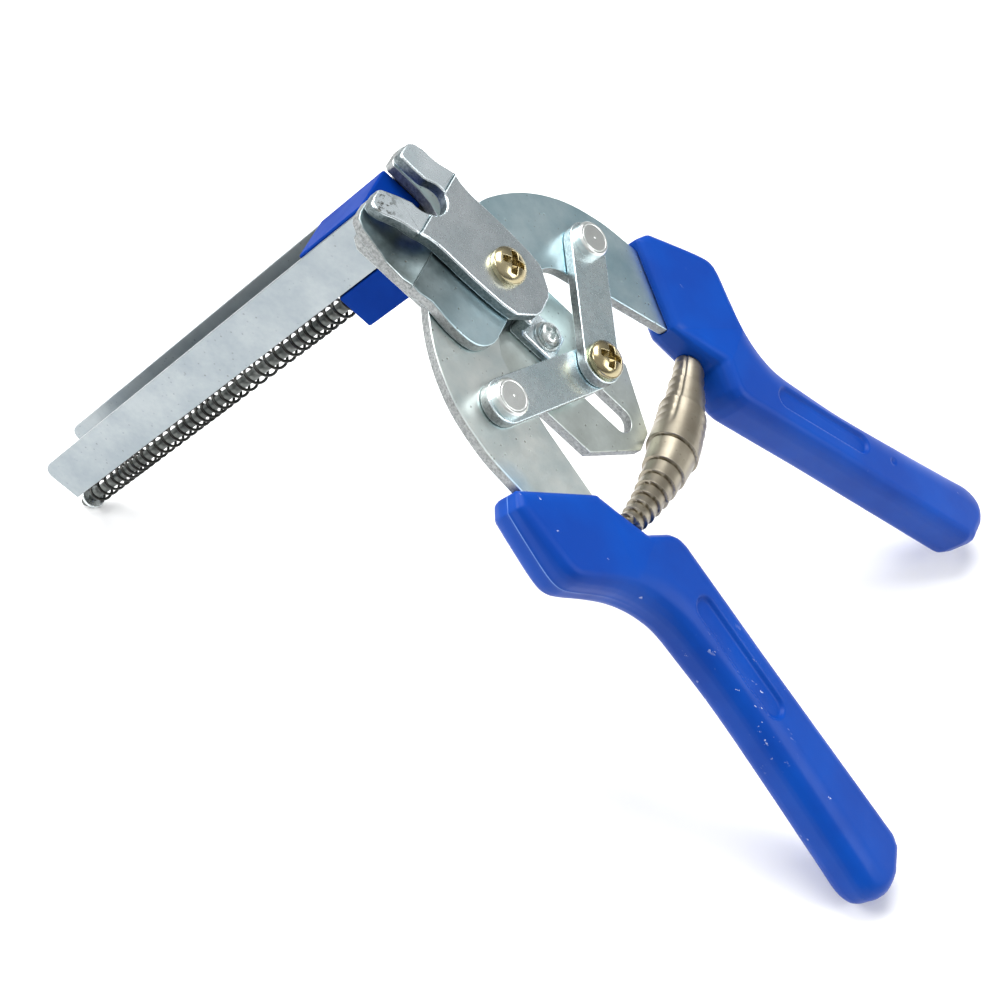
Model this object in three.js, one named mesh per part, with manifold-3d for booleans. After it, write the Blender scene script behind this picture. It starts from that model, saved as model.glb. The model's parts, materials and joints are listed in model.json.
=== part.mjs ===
// Auto-feed cage-clip plier: two gripped handles crossing on one pivot, an equalising
// linkage on a slotted base plate, a fork plate, and a clip magazine behind the jaws.
// Local frame while modelling: x runs from the jaws to the grips, y across the handles,
// z out of the handle plane. The upper face of the upper handle plate is z = 0, and the
// main pivot is x = 0, y = 0. The finished group is tipped onto the rod tip and the two
// grip ends, the way the tool stands on a bench.
import * as THREE from 'three';
import Module from 'manifold-3d';
import { mergeVertices } from 'three/addons/utils/BufferGeometryUtils.js';

const wasm = await Module();
wasm.setup();

// ---- driving sizes, in millimetres ------------------------------------------------
const STAND_TILT = THREE.MathUtils.degToRad(43);  // handle plane above the bench

const SEAT = 0.05;            // gap between pieces that are clamped together
const RUN = 0.25;             // gap between plates that slide over each other
const PLATE = 2.75;           // handle and base plate thickness
const LINK_T = 2.75;
const FORK_T = 3.0;

const BORE_RUN = 0.15;        // radial gap of a plate turning on its pin
const PIN_R = 2.5;            // main pivot and slider screw shank
const SCREW_HEAD_R = 4.75;
const SCREW_HEAD_H = 3.1;
const NUT_R = 4.5;            // hexagon, centre to corner
const NUT_T = 4.0;

const RIVET_X = 15.4;         // link rivets, from the main pivot
const RIVET_Y = 27.3;
const RIVET_R = 2.5;
const RIVET_HEAD_R = 4.5;
const RIVET_HEAD_H = 2.3;
const RIVET_TAIL_H = 1.4;

const SLIDER_X = 31.4;        // slider screw with the handles fully open
const LINK_HALF_W = 5.4;
const LINK_PLAY = 0.55;       // radial gap of a link eye on the slider screw
const BUSH_R = 5.2;

const BASE_HALF_W = 15.4;
const BASE_LEFT = -29.8;
const BASE_RIGHT = 54.5;
const BASE_NOSE_HALF = 3.0;   // half the flat at the pointed end
const SLOT_HALF_W = 3.1;
const SLOT_START = 28.6;      // slot arc centres
const SLOT_END = 46.6;

const FORK_HALF_W = 10.0;
const FORK_TAIL = 12.4;
const FORK_TIP = -33.2;
const FORK_BEND_X = -21.0;    // the prongs bend down from here
const FORK_BEND = THREE.MathUtils.degToRad(14);
const MOUTH_R = 4.8;
const MOUTH_X = -23.4;

const JAW_TIP = -33.0;
const JAW_GAP = 6.4;          // half the open mouth between the jaws
const JAW_DEPTH = 17.4;       // outer edge of either jaw at its front
const LOWER_JAW_HEEL = 21.8;
const UPPER_JAW_HEEL = 16.6;
const STEP_START = -15.6;     // the lower jaw steps down to meet the upper jaw
const STEP_END = -22.5;

const GRIP_T = 13.0;
const GRIP_ROUND = 3.6;       // depth of the rounded edge
const GRIP_INSET = 2.6;       // how far that edge comes in
const GRIP_LIFT = 1.0;        // each grip sits this far outward of its plate
const TANG_GAP = 0.1;

const CHANNEL_HALF_W = 8.3;
const CHANNEL_T = 1.0;
const CHANNEL_FRONT = -32.2;
const CHANNEL_WEB = -20.0;    // outer face of the web
const CHANNEL_LEN = 148.0;
const CHANNEL_TAIL_ROUND = 3.5;  // open corners of both flanges at the tail
const WEB_SLOT_HALF = 2.6;
const WEB_BRIDGE = 8.0;       // web left whole behind the slot

const ROD_R = 1.5;
const ROD_X = -15.4;
const ROD_LEN = 162.0;
const SPRING_R = 2.75;        // coil centre line
const WIRE_R = 0.4;
const SPRING_TURNS = 34;
const SPRING_FACETS = 7;      // straight lengths in each turn
const SPRING_END_GAP = 4.0;   // rod left beyond the spring
const KEEPER_R = 3.4;
const KEEPER_T = 1.0;

const FOLLOWER_LEN = 22.0;
const FOLLOWER_GAP = 0.35;
const FOLLOWER_NOSE = 0.1;    // how far the nose stops below the base plate's face
const CARRIER_W = 9.6;
const CARRIER_LEN = 20.0;

const VOLUTE_CLEAR = 2.1;     // volute axis at the grips, beyond the point of the base plate
const VOLUTE_MID_R = 6.5;
const VOLUTE_END_R = 3.1;
const VOLUTE_WALL = 0.8;
const VOLUTE_BOW = 4.1;       // the open grips bow it away from the base plate
const VOLUTE_STEPS = 6;
const SEAT_Y = 28.0;          // inner face of the grip block where the volute seats
const SEAT_FRONT = 11.0;      // grip block from the volute axis to its front edge
const SEAT_BACK = 3.8;        // and to its back edge

const BRACKET_HALF_W = 4.6;
const BRACKET_T = 2.6;
const SMALL_SCREW_X = 18.9;
const SMALL_PIN_R = 1.5;
const SMALL_HEAD_R = 3.1;
const SMALL_HEAD_H = 2.2;

// the grips and the tangs inside them keep their place from the volute
const voluteX = BASE_RIGHT + VOLUTE_CLEAR;

// ---- levels along z ----------------------------------------------------------------
const upperTop = 0;
const lowerTop = upperTop - PLATE - RUN;
const baseTop = lowerTop - PLATE - RUN;
const baseBottom = baseTop - PLATE;
const lowerLinkTop = lowerTop + RUN + LINK_T;
const upperLinkBottom = Math.max(upperTop, lowerLinkTop) + RUN;
const upperLinkTop = upperLinkBottom + LINK_T;
const forkBottom = upperTop + 2 * RUN;
const forkTop = forkBottom + FORK_T;

// ---- materials -----------------------------------------------------------------------
const finish = (color, roughness, metalness) =>
  new THREE.MeshStandardMaterial({ color, roughness, metalness });
const zinc = () => finish(0xa9b2b4, 0.42, 0.85);
const brightZinc = () => finish(0xc4cacb, 0.3, 0.9);
const yellowZinc = () => finish(0xb39a55, 0.32, 0.9);
const nickel = () => finish(0xa39a88, 0.35, 0.9);
const blackWire = () => finish(0x2a2a2c, 0.45, 0.7);
const bluePlastic = () => finish(0x1746b5, 0.5, 0.0);

// ---- solid helpers -------------------------------------------------------------------
function toManifold(geometry) {
  const plain = geometry.clone();
  plain.deleteAttribute('normal');
  plain.deleteAttribute('uv');
  const merged = mergeVertices(plain, 1e-4);
  return new wasm.Manifold(new wasm.Mesh({
    numProp: 3,
    vertProperties: new Float32Array(merged.attributes.position.array),
    triVerts: new Uint32Array(merged.index.array),
  }));
}

function fromManifold(solid) {
  const mesh = solid.getMesh();
  const geometry = new THREE.BufferGeometry();
  geometry.setAttribute('position', new THREE.BufferAttribute(mesh.vertProperties, 3));
  geometry.setIndex(new THREE.BufferAttribute(mesh.triVerts, 1));
  return geometry;
}

const cut = (geometry, ...tools) => fromManifold(
  tools.reduce((solid, tool) => solid.subtract(toManifold(tool)), toManifold(geometry)));
const join = (geometry, ...others) => fromManifold(
  others.reduce((solid, other) => solid.add(toManifold(other)), toManifold(geometry)));
const common = (geometry, other) =>
  fromManifold(toManifold(geometry).intersect(toManifold(other)));

// the same face with its outline running anticlockwise, as its clockwise holes need
function anticlockwise(shape, curveSegments) {
  const outline = shape.getPoints(curveSegments);
  if (THREE.ShapeUtils.isClockWise(outline)) outline.reverse();
  const face = new THREE.Shape(outline);
  face.holes = shape.holes;
  return face;
}

function slab(shape, bottom, thickness, curveSegments = 12) {
  const geometry = new THREE.ExtrudeGeometry(anticlockwise(shape, curveSegments), {
    depth: thickness, bevelEnabled: false, curveSegments,
  });
  return geometry.translate(0, 0, bottom);
}

function block(x0, x1, y0, y1, z0, z1) {
  return new THREE.BoxGeometry(x1 - x0, y1 - y0, z1 - z0)
    .translate((x0 + x1) / 2, (y0 + y1) / 2, (z0 + z1) / 2);
}

function disc(x, y, radius, bottom, height, segments = 24) {
  return new THREE.CylinderGeometry(radius, radius, height, segments)
    .rotateX(Math.PI / 2)
    .translate(x, y, bottom + height / 2);
}

function turned(profile, x, y, bottom, segments = 24) {
  return new THREE.LatheGeometry(profile.map(([r, h]) => new THREE.Vector2(r, h)), segments)
    .rotateX(Math.PI / 2)
    .translate(x, y, bottom);
}

function ring(shape, x, y, radius) {
  shape.holes.push(new THREE.Path().absarc(x, y, radius, 0, Math.PI * 2, true));
  return shape;
}

function node(name, geometry, material) {
  const mesh = new THREE.Mesh(geometry, material);
  mesh.name = name;
  return mesh;
}

const points = (list, side) => list.map(([x, y]) => new THREE.Vector2(x, side * y));

// the same, with x measured from the volute axis
const fromVolute = (list, side) => points(list.map(([x, y]) => [voluteX + x, y]), side);

// a closed outline pushed outward by an even distance
function grown(outline, distance) {
  const sign = THREE.ShapeUtils.area(outline) > 0 ? 1 : -1;
  return outline.map((here, i) => {
    const before = outline[(i + outline.length - 1) % outline.length];
    const after = outline[(i + 1) % outline.length];
    const a = here.clone().sub(before).normalize();
    const b = after.clone().sub(here).normalize();
    const na = new THREE.Vector2(a.y, -a.x).multiplyScalar(sign);
    const nb = new THREE.Vector2(b.y, -b.x).multiplyScalar(sign);
    const mid = na.add(nb).normalize();
    const mitre = Math.max(0.5, mid.dot(nb));
    return here.clone().addScaledVector(mid, distance / mitre);
  });
}

// ---- fasteners -----------------------------------------------------------------------
// pan head with a domed crown and a cross recess
function panHead(x, y, bottom, radius, height) {
  const rim = height * 0.3;
  const profile = [[0, 0], [radius * 0.96, 0], [radius, rim * 0.5], [radius * 0.97, rim]];
  const steps = 4;
  for (let i = 1; i <= steps; i += 1) {
    const t = (i / steps) * Math.PI / 2;
    profile.push([radius * 0.97 * Math.cos(t), rim + (height - rim) * Math.sin(t)]);
  }
  profile[profile.length - 1][0] = 0;
  const head = turned(profile, x, y, bottom);
  const arm = radius * 0.55;
  const wing = radius * 0.12;
  const depth = height * 0.55;
  const floor = bottom + height - depth;
  const across = block(x - arm, x + arm, y - wing, y + wing, floor, bottom + height + 1);
  const along = block(x - wing, x + wing, y - arm, y + arm, floor, bottom + height + 1);
  return cut(head, across, along);
}

function screw(name, x, headSeat, tip, shank, headR, headH, material) {
  const head = panHead(x, 0, headSeat, headR, headH);
  const overlap = headH * 0.2;
  return node(name, join(head, disc(x, 0, shank, tip, headSeat - tip + overlap)), material);
}

function nut(name, x, top, shank) {
  const shape = new THREE.Shape();
  for (let i = 0; i < 6; i += 1) {
    const t = (i / 6) * Math.PI * 2;
    const at = [x + NUT_R * Math.cos(t), NUT_R * Math.sin(t)];
    if (i === 0) shape.moveTo(...at);
    else shape.lineTo(...at);
  }
  ring(shape, x, 0, shank + SEAT);
  return node(name, slab(shape, top - NUT_T, NUT_T), brightZinc());
}

function washer(name, x, y, inner, outer, bottom, thickness) {
  const shape = new THREE.Shape().absarc(x, y, outer, 0, Math.PI * 2);
  return node(name, slab(ring(shape, x, y, inner), bottom, thickness, 10), brightZinc());
}

function rivet(name, side, tailTop, headSeat) {
  const tail = tailTop - RIVET_TAIL_H;
  const bevel = 0.45;
  const profile = [
    [0, tail], [RIVET_HEAD_R - 0.8, tail], [RIVET_HEAD_R - 0.4, tail + 0.5],
    [RIVET_HEAD_R - 0.4, tailTop - SEAT], [RIVET_R, tailTop - SEAT],
    [RIVET_R, headSeat + SEAT], [RIVET_HEAD_R, headSeat + SEAT],
    [RIVET_HEAD_R, headSeat + RIVET_HEAD_H - bevel],
    [RIVET_HEAD_R - bevel, headSeat + RIVET_HEAD_H], [0, headSeat + RIVET_HEAD_H],
  ];
  return node(name, turned(profile, RIVET_X, side * RIVET_Y, 0), brightZinc());
}

// ---- base plate, fork plate and what joins them ----------------------------------------
function basePlate() {
  const slope = BASE_RIGHT - (BASE_HALF_W - BASE_NOSE_HALF);
  const corner = 2;
  const windowEnd = CHANNEL_WEB + FOLLOWER_GAP;
  const windowHalf = CHANNEL_HALF_W - CHANNEL_T;
  const shape = new THREE.Shape(points([
    [BASE_LEFT, windowHalf], [BASE_LEFT, BASE_HALF_W - corner],
    [BASE_LEFT + corner, BASE_HALF_W], [slope, BASE_HALF_W],
    [BASE_RIGHT, BASE_NOSE_HALF], [BASE_RIGHT, -BASE_NOSE_HALF],
    [slope, -BASE_HALF_W], [BASE_LEFT + corner, -BASE_HALF_W],
    [BASE_LEFT, corner - BASE_HALF_W], [BASE_LEFT, -windowHalf],
    [windowEnd, -windowHalf], [windowEnd, windowHalf],
  ], 1));
  const slot = new THREE.Path();
  slot.absarc(SLOT_START, 0, SLOT_HALF_W, Math.PI / 2, Math.PI * 1.5);
  slot.absarc(SLOT_END, 0, SLOT_HALF_W, -Math.PI / 2, Math.PI / 2);
  shape.holes.push(slot);
  ring(shape, 0, 0, PIN_R + SEAT);
  ring(shape, SMALL_SCREW_X, 0, SMALL_PIN_R + SEAT);
  ring(shape, ROD_X, 0, ROD_R + SEAT);
  return node('base_plate', slab(shape, baseTop - PLATE, PLATE), zinc());
}

// half the fork outline, from the tail round the prong to the mouth, for one side
function forkHalf(side) {
  const neck = -16.5;
  const ear = -21.5;
  const curve = new THREE.SplineCurve(points([
    [FORK_TAIL - 9, FORK_HALF_W - 0.4], [-5, FORK_HALF_W], [neck, FORK_HALF_W],
    [ear, FORK_HALF_W + 1.3], [-25.5, FORK_HALF_W + 1.2], [-29.5, FORK_HALF_W + 2.2],
  ], side));
  const tip = points([
    [FORK_TIP + 1.6, FORK_HALF_W + 2.2], [FORK_TIP + 0.3, FORK_HALF_W + 1.2],
    [FORK_TIP, FORK_HALF_W - 0.6], [FORK_TIP, MOUTH_R + 2.2], [FORK_TIP + 0.7, MOUTH_R + 1.3],
    [-28.8, MOUTH_R + 0.1],
  ], side);
  const tail = points([
    [FORK_TAIL, 0], [FORK_TAIL, 2.6], [FORK_TAIL - 0.8, 4.6], [FORK_TAIL - 5.2, 8.9],
  ], side);
  const cusp = Math.acos((-25.7 - MOUTH_X) / MOUTH_R);
  const mouth = [];
  const steps = 8;
  for (let i = 0; i <= steps; i += 1) {
    const t = cusp * (1 - i / steps);
    mouth.push(new THREE.Vector2(MOUTH_X + MOUTH_R * Math.cos(t), side * MOUTH_R * Math.sin(t)));
  }
  return [...tail, ...curve.getPoints(24), ...tip, ...mouth];
}

function forkPlate() {
  const upper = forkHalf(1);
  const lower = forkHalf(-1).reverse().slice(1, -1);
  const shape = ring(new THREE.Shape([...upper, ...lower]), 0, 0, PIN_R + SEAT);
  const flat = slab(shape, forkBottom, FORK_T);
  const room = 60;
  const weld = 0.02;
  const body = common(flat, block(FORK_BEND_X, room, -room, room, -room, room));
  const prongs = common(flat, block(-room, FORK_BEND_X + weld, -room, room, -room, room))
    .translate(-FORK_BEND_X, 0, -forkTop)
    .applyMatrix4(new THREE.Matrix4().makeShear(0, Math.tan(FORK_BEND), 0, 0, 0, 0))
    .translate(FORK_BEND_X, 0, forkTop);
  return node('fork_plate', join(body, prongs), zinc());
}

// stepped strip: its foot is screwed to the base plate, its top carries the fork's tail
function forkBracket() {
  const left = FORK_TAIL - 2.6;
  const rise = FORK_TAIL + 0.6;
  const footTop = baseTop + SEAT + BRACKET_T;
  const profile = new THREE.Shape([
    [left, forkBottom - SEAT], [left, forkBottom - SEAT - BRACKET_T * 0.75],
    [rise - BRACKET_T, baseTop + SEAT + 0.8], [rise - BRACKET_T + 0.8, baseTop + SEAT],
    [SMALL_SCREW_X + BRACKET_HALF_W, baseTop + SEAT], [SMALL_SCREW_X + BRACKET_HALF_W, footTop],
    [rise + 0.8, footTop], [rise, footTop + 0.8], [rise, forkBottom - SEAT],
  ].map(([x, z]) => new THREE.Vector2(x, z)));
  const strip = new THREE.ExtrudeGeometry(profile, { depth: BRACKET_HALF_W * 2, bevelEnabled: false })
    .rotateX(Math.PI / 2)
    .translate(0, BRACKET_HALF_W, 0);
  const bore = disc(SMALL_SCREW_X, 0, SMALL_PIN_R + SEAT, baseTop - 1, BRACKET_T + 3);
  return node('fork_bracket', cut(strip, bore), zinc());
}

// ---- handles ---------------------------------------------------------------------------
// outline of one handle plate: outer arc, tang inside the grip, inner edge, heel and jaw
function handleOutline(side, heel) {
  const outer = new THREE.SplineCurve(points([
    [-13.0, 8.5], [-10.6, 17.2], [-3.6, 27.6], [6, 35.6], [17, 40.1], [26, 41.6],
  ], side)).getPoints(26);
  const tang = fromVolute([
    [-12.6, 43.6], [3.4, 39.6], [21.4, 36.6], [45.4, 43.4], [71.4, 51.2],
    [73.4, 45.8], [47.4, 38.0], [21.4, 30.4], [7.4, 32.4], [-6.6, 32.0], [-11.6, 28.0],
  ], side);
  const inner = new THREE.SplineCurve(points([
    [28.5, 22.4], [19, 18.4], [13, 16.2], [9.6, 13.0], [7.6, 8.0], [7.2, 0],
    [7.2, 8 - heel], [6.2, 3.6 - heel], [3, 0.6 - heel], [-3, -heel], [-10, 1.2 - heel],
  ], side)).getPoints(44);
  const jaw = points([
    [-14, 0.5 - heel], [-18, -0.7 * heel - 0.3 * JAW_DEPTH], [-24, 0.2 - JAW_DEPTH],
    [JAW_TIP + 2.4, 2.2 - JAW_DEPTH], [JAW_TIP + 0.5, 3.8 - JAW_DEPTH],
    [JAW_TIP, 5.4 - JAW_DEPTH], [JAW_TIP, -JAW_GAP - 1], [JAW_TIP + 1, -JAW_GAP],
    [-24, -JAW_GAP], [-20.5, 0.6 - JAW_GAP], [-17.5, -4.2], [-14.2, -1.5], [-13.4, 3],
  ], side);
  return [...outer, ...tang, ...inner, ...jaw];
}

// a handle plate whose jaw steps down by the given drop, so both jaws meet level
function handlePlate(name, side, top, heel, drop) {
  const shape = new THREE.Shape(handleOutline(side, heel));
  ring(shape, 0, 0, PIN_R + BORE_RUN);
  ring(shape, RIVET_X, side * RIVET_Y, RIVET_R + SEAT);
  const flat = slab(shape, top - PLATE, PLATE);
  if (drop === 0) return node(name, flat, zinc());
  const room = 300;
  const weld = 0.02;
  const part = (x0, x1) => common(flat, block(x0, x1, -room, room, -room, room));
  const ramp = part(STEP_END, STEP_START + weld)
    .translate(-STEP_START, 0, 0)
    .applyMatrix4(new THREE.Matrix4().makeShear(0, drop / (STEP_START - STEP_END), 0, 0, 0, 0))
    .translate(STEP_START, 0, 0);
  const jaw = part(-room, STEP_END + weld).translate(0, 0, -drop);
  return node(name, join(part(STEP_START, room), ramp, jaw), zinc());
}

function gripOutline(side) {
  const shoulder = new THREE.SplineCurve(fromVolute([
    [-27.4, 47.2], [-20.6, 50.2], [-13, 53.2], [-9, 53.6], [-5.6, 51.9],
    [-0.6, 48.4], [5.4, 45.0], [12.4, 42.9], [20.4, 42.4], [29.4, 44.4], [43.4, 48.2], [63.4, 55.2],
    [83.4, 62.5], [91.4, 65.4], [95.4, 64.6], [98.2, 61.4], [98.8, 56],
  ], side)).getPoints(56);
  const rest = fromVolute([
    [97.6, 49.4], [95, 46.9], [83.4, 43.4], [63.4, 37.4], [43.4, 31.5], [23.4, 25.2],
    [14.4, 22.4], [11.4, 22.2], [9, 23.2], [SEAT_BACK, SEAT_Y], [-SEAT_FRONT, SEAT_Y], [-29.4, 43.4],
  ], side);
  return [...shoulder, ...rest];
}

function grip(name, side, plateTop, heel) {
  const middle = plateTop - PLATE / 2 + side * GRIP_LIFT;
  const body = new THREE.ExtrudeGeometry(new THREE.Shape(gripOutline(side)), {
    depth: GRIP_T - 2 * GRIP_ROUND, bevelThickness: GRIP_ROUND, bevelSize: GRIP_INSET,
    bevelOffset: -GRIP_INSET, bevelSegments: 3, curveSegments: 1,
  }).translate(0, 0, middle - GRIP_T / 2 + GRIP_ROUND);
  const pocket = slab(
    new THREE.Shape(grown(handleOutline(side, heel), TANG_GAP)),
    plateTop - PLATE - TANG_GAP, PLATE + 2 * TANG_GAP);
  return node(name, cut(body, pocket), bluePlastic());
}

// ---- equalising linkage ----------------------------------------------------------------
function link(name, side, bottom) {
  const dx = SLIDER_X - RIVET_X;
  const dy = -side * RIVET_Y;
  const heading = Math.atan2(dy, dx);
  const shape = new THREE.Shape();
  shape.absarc(SLIDER_X, 0, LINK_HALF_W, heading - Math.PI / 2, heading + Math.PI / 2);
  shape.absarc(RIVET_X, side * RIVET_Y, LINK_HALF_W, heading + Math.PI / 2, heading + Math.PI * 1.5);
  ring(shape, SLIDER_X, 0, PIN_R + LINK_PLAY);
  ring(shape, RIVET_X, side * RIVET_Y, RIVET_R + BORE_RUN);
  return node(name, slab(shape, bottom, LINK_T), zinc());
}

// ---- magazine --------------------------------------------------------------------------
function magazineChannel() {
  const half = CHANNEL_HALF_W;
  const wall = CHANNEL_T;
  const shape = new THREE.Shape(points([
    [CHANNEL_FRONT, half], [CHANNEL_FRONT, half - wall], [CHANNEL_WEB - wall, half - wall],
    [CHANNEL_WEB - wall, wall - half], [CHANNEL_FRONT, wall - half], [CHANNEL_FRONT, -half],
    [CHANNEL_WEB, -half], [CHANNEL_WEB, half],
  ], 1));
  const top = baseBottom - SEAT;
  const channel = slab(shape, top - CHANNEL_LEN, CHANNEL_LEN);
  const slot = block(CHANNEL_WEB - 2 * wall, CHANNEL_WEB + wall, -WEB_SLOT_HALF, WEB_SLOT_HALF,
    top - CHANNEL_LEN + WEB_BRIDGE, top + wall);
  const round = CHANNEL_TAIL_ROUND;
  const tail = top - CHANNEL_LEN;
  const corner = block(CHANNEL_FRONT - 1, CHANNEL_FRONT + round, -2 * half, 2 * half, tail - 1, tail + round);
  const arc = new THREE.CylinderGeometry(round, round, 6 * half, 24)
    .translate(CHANNEL_FRONT + round, 0, tail + round);
  return node('magazine_channel', cut(channel, slot, cut(corner, arc)), zinc());
}

// nose in the channel, neck through the web slot, carrier block on the guide rod
function follower() {
  const inside = CHANNEL_HALF_W - CHANNEL_T - FOLLOWER_GAP;
  const tail = baseBottom - FOLLOWER_LEN;
  const noseRight = CHANNEL_WEB - CHANNEL_T - FOLLOWER_GAP;
  const noseTop = baseTop - FOLLOWER_NOSE;
  const nose = block(CHANNEL_FRONT - 0.6, noseRight, -inside, inside, tail, noseTop);
  const carrierLeft = CHANNEL_WEB + FOLLOWER_GAP;
  const neck = block(noseRight - 1, carrierLeft + 1, FOLLOWER_GAP - WEB_SLOT_HALF,
    WEB_SLOT_HALF - FOLLOWER_GAP, tail, tail + CARRIER_LEN);
  const carrier = block(carrierLeft, carrierLeft + CARRIER_W, -CHANNEL_HALF_W, CHANNEL_HALF_W,
    tail, tail + CARRIER_LEN);
  const bore = disc(ROD_X, 0, ROD_R + FOLLOWER_GAP, tail - 1, CARRIER_LEN + 2);
  return node('follower', cut(join(nose, neck, carrier), bore), bluePlastic());
}

function guideRod() {
  const chamfer = 0.5;
  const profile = [
    [0, 0], [ROD_R - chamfer, 0], [ROD_R, chamfer], [ROD_R, ROD_LEN], [0, ROD_LEN],
  ];
  return node('guide_rod', turned(profile, ROD_X, 0, baseTop - ROD_LEN, 24), brightZinc());
}

const keeperTop = () => baseTop - ROD_LEN + SPRING_END_GAP + KEEPER_T;

function magazineSpring() {
  const top = baseBottom - FOLLOWER_LEN - WIRE_R - SEAT;
  const bottom = keeperTop() + WIRE_R + SEAT;
  class Helix extends THREE.Curve {
    getPoint(t, target = new THREE.Vector3()) {
      const a = t * SPRING_TURNS * Math.PI * 2;
      return target.set(ROD_X + SPRING_R * Math.cos(a), SPRING_R * Math.sin(a),
        bottom + (top - bottom) * t);
    }
  }
  const wire = new THREE.Shape();
  const sides = 4;
  for (let i = 0; i < sides; i += 1) {
    const a = (i / sides) * Math.PI * 2;
    if (i === 0) wire.moveTo(WIRE_R, 0);
    else wire.lineTo(WIRE_R * Math.cos(a), WIRE_R * Math.sin(a));
  }
  const coil = new THREE.ExtrudeGeometry(wire, {
    steps: SPRING_TURNS * SPRING_FACETS, extrudePath: new Helix(), bevelEnabled: false,
  });
  return node('magazine_spring', coil, blackWire());
}

// ---- opening spring --------------------------------------------------------------------
// wound strip, widest in the middle, drawn as a stepped hollow barrel
function voluteSpring() {
  const end = SEAT_Y - SEAT;
  const middle = (upperTop + baseTop) / 2;
  const radiusAt = (y) => VOLUTE_END_R + (VOLUTE_MID_R - VOLUTE_END_R) * (1 - Math.abs(y) / end);
  const outer = [];
  const step = end / VOLUTE_STEPS;
  for (let i = -VOLUTE_STEPS; i < VOLUTE_STEPS; i += 1) {
    const near = i < 0 ? i + 1 : i;
    const radius = radiusAt(near * step);
    outer.push([radius, i * step], [radius, (i + 1) * step]);
  }
  const inner = outer.map(([r, y]) => [r - VOLUTE_WALL - 0.2, y]).reverse();
  const profile = [...outer, ...inner, outer[0]].map(([r, y]) => new THREE.Vector2(r, y));
  const barrel = new THREE.LatheGeometry(profile, 18);
  const at = barrel.attributes.position;
  for (let i = 0; i < at.count; i += 1) {
    at.setX(i, at.getX(i) + VOLUTE_BOW * (1 - (at.getY(i) / end) ** 2));
  }
  barrel.translate(voluteX, 0, middle);
  return node('volute_spring', barrel, nickel());
}

// ---- assembly --------------------------------------------------------------------------
const tool = new THREE.Group();
tool.rotation.y = STAND_TILT;

const fixed = new THREE.Group();
fixed.add(
  basePlate(),
  forkPlate(),
  forkBracket(),
  screw('pivot_screw', 0, forkTop + SEAT, baseBottom - NUT_T - 1, PIN_R, SCREW_HEAD_R,
    SCREW_HEAD_H, yellowZinc()),
  nut('pivot_nut', 0, baseBottom - SEAT, PIN_R),
  washer('fork_spacer', 0, 0, PIN_R + SEAT, SCREW_HEAD_R, upperTop + RUN / 2,
    forkBottom - upperTop - RUN / 2 - SEAT),
  screw('bracket_screw', SMALL_SCREW_X, baseTop + BRACKET_T + 3 * SEAT + 0.5, baseBottom - 1,
    SMALL_PIN_R, SMALL_HEAD_R, SMALL_HEAD_H, brightZinc()),
  washer('bracket_washer', SMALL_SCREW_X, 0, SMALL_PIN_R + SEAT, SMALL_HEAD_R + 0.6,
    baseTop + BRACKET_T + 2 * SEAT, 0.5),
  magazineChannel(),
  guideRod(),
  washer('rod_keeper', ROD_X, 0, ROD_R + SEAT, KEEPER_R, keeperTop() - KEEPER_T, KEEPER_T),
);

const upperHandle = new THREE.Group();
upperHandle.add(
  handlePlate('upper_handle_plate', 1, upperTop, LOWER_JAW_HEEL, upperTop - lowerTop),
  grip('upper_grip', 1, upperTop, LOWER_JAW_HEEL),
  rivet('upper_rivet', 1, upperTop - PLATE, upperLinkTop),
);

const lowerHandle = new THREE.Group();
lowerHandle.add(
  handlePlate('lower_handle_plate', -1, lowerTop, UPPER_JAW_HEEL, 0),
  grip('lower_grip', -1, lowerTop, UPPER_JAW_HEEL),
  rivet('lower_rivet', -1, lowerTop - PLATE, lowerLinkTop),
);

const slider = new THREE.Group();
slider.add(
  screw('slider_screw', SLIDER_X, upperLinkTop + RUN, baseBottom - NUT_T - 1, PIN_R,
    SCREW_HEAD_R, SCREW_HEAD_H, yellowZinc()),
  washer('slider_bush', SLIDER_X, 0, PIN_R + SEAT, BUSH_R, baseTop + RUN / 2,
    lowerTop - baseTop - RUN / 2),
  nut('slider_nut', SLIDER_X, baseBottom - RUN / 2, PIN_R),
);

tool.add(
  fixed, upperHandle, lowerHandle, slider,
  link('upper_link', 1, upperLinkBottom),
  link('lower_link', -1, lowerTop + RUN),
  follower(), magazineSpring(), voluteSpring(),
);

// stand the tool on z = 0, centred on the origin
const object = new THREE.Group();
object.add(tool);
object.updateMatrixWorld(true);
const bounds = new THREE.Box3().setFromObject(object, true);
tool.position.set(
  -(bounds.min.x + bounds.max.x) / 2, -(bounds.min.y + bounds.max.y) / 2, -bounds.min.z);
object.updateMatrixWorld(true);

export default object;
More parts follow.
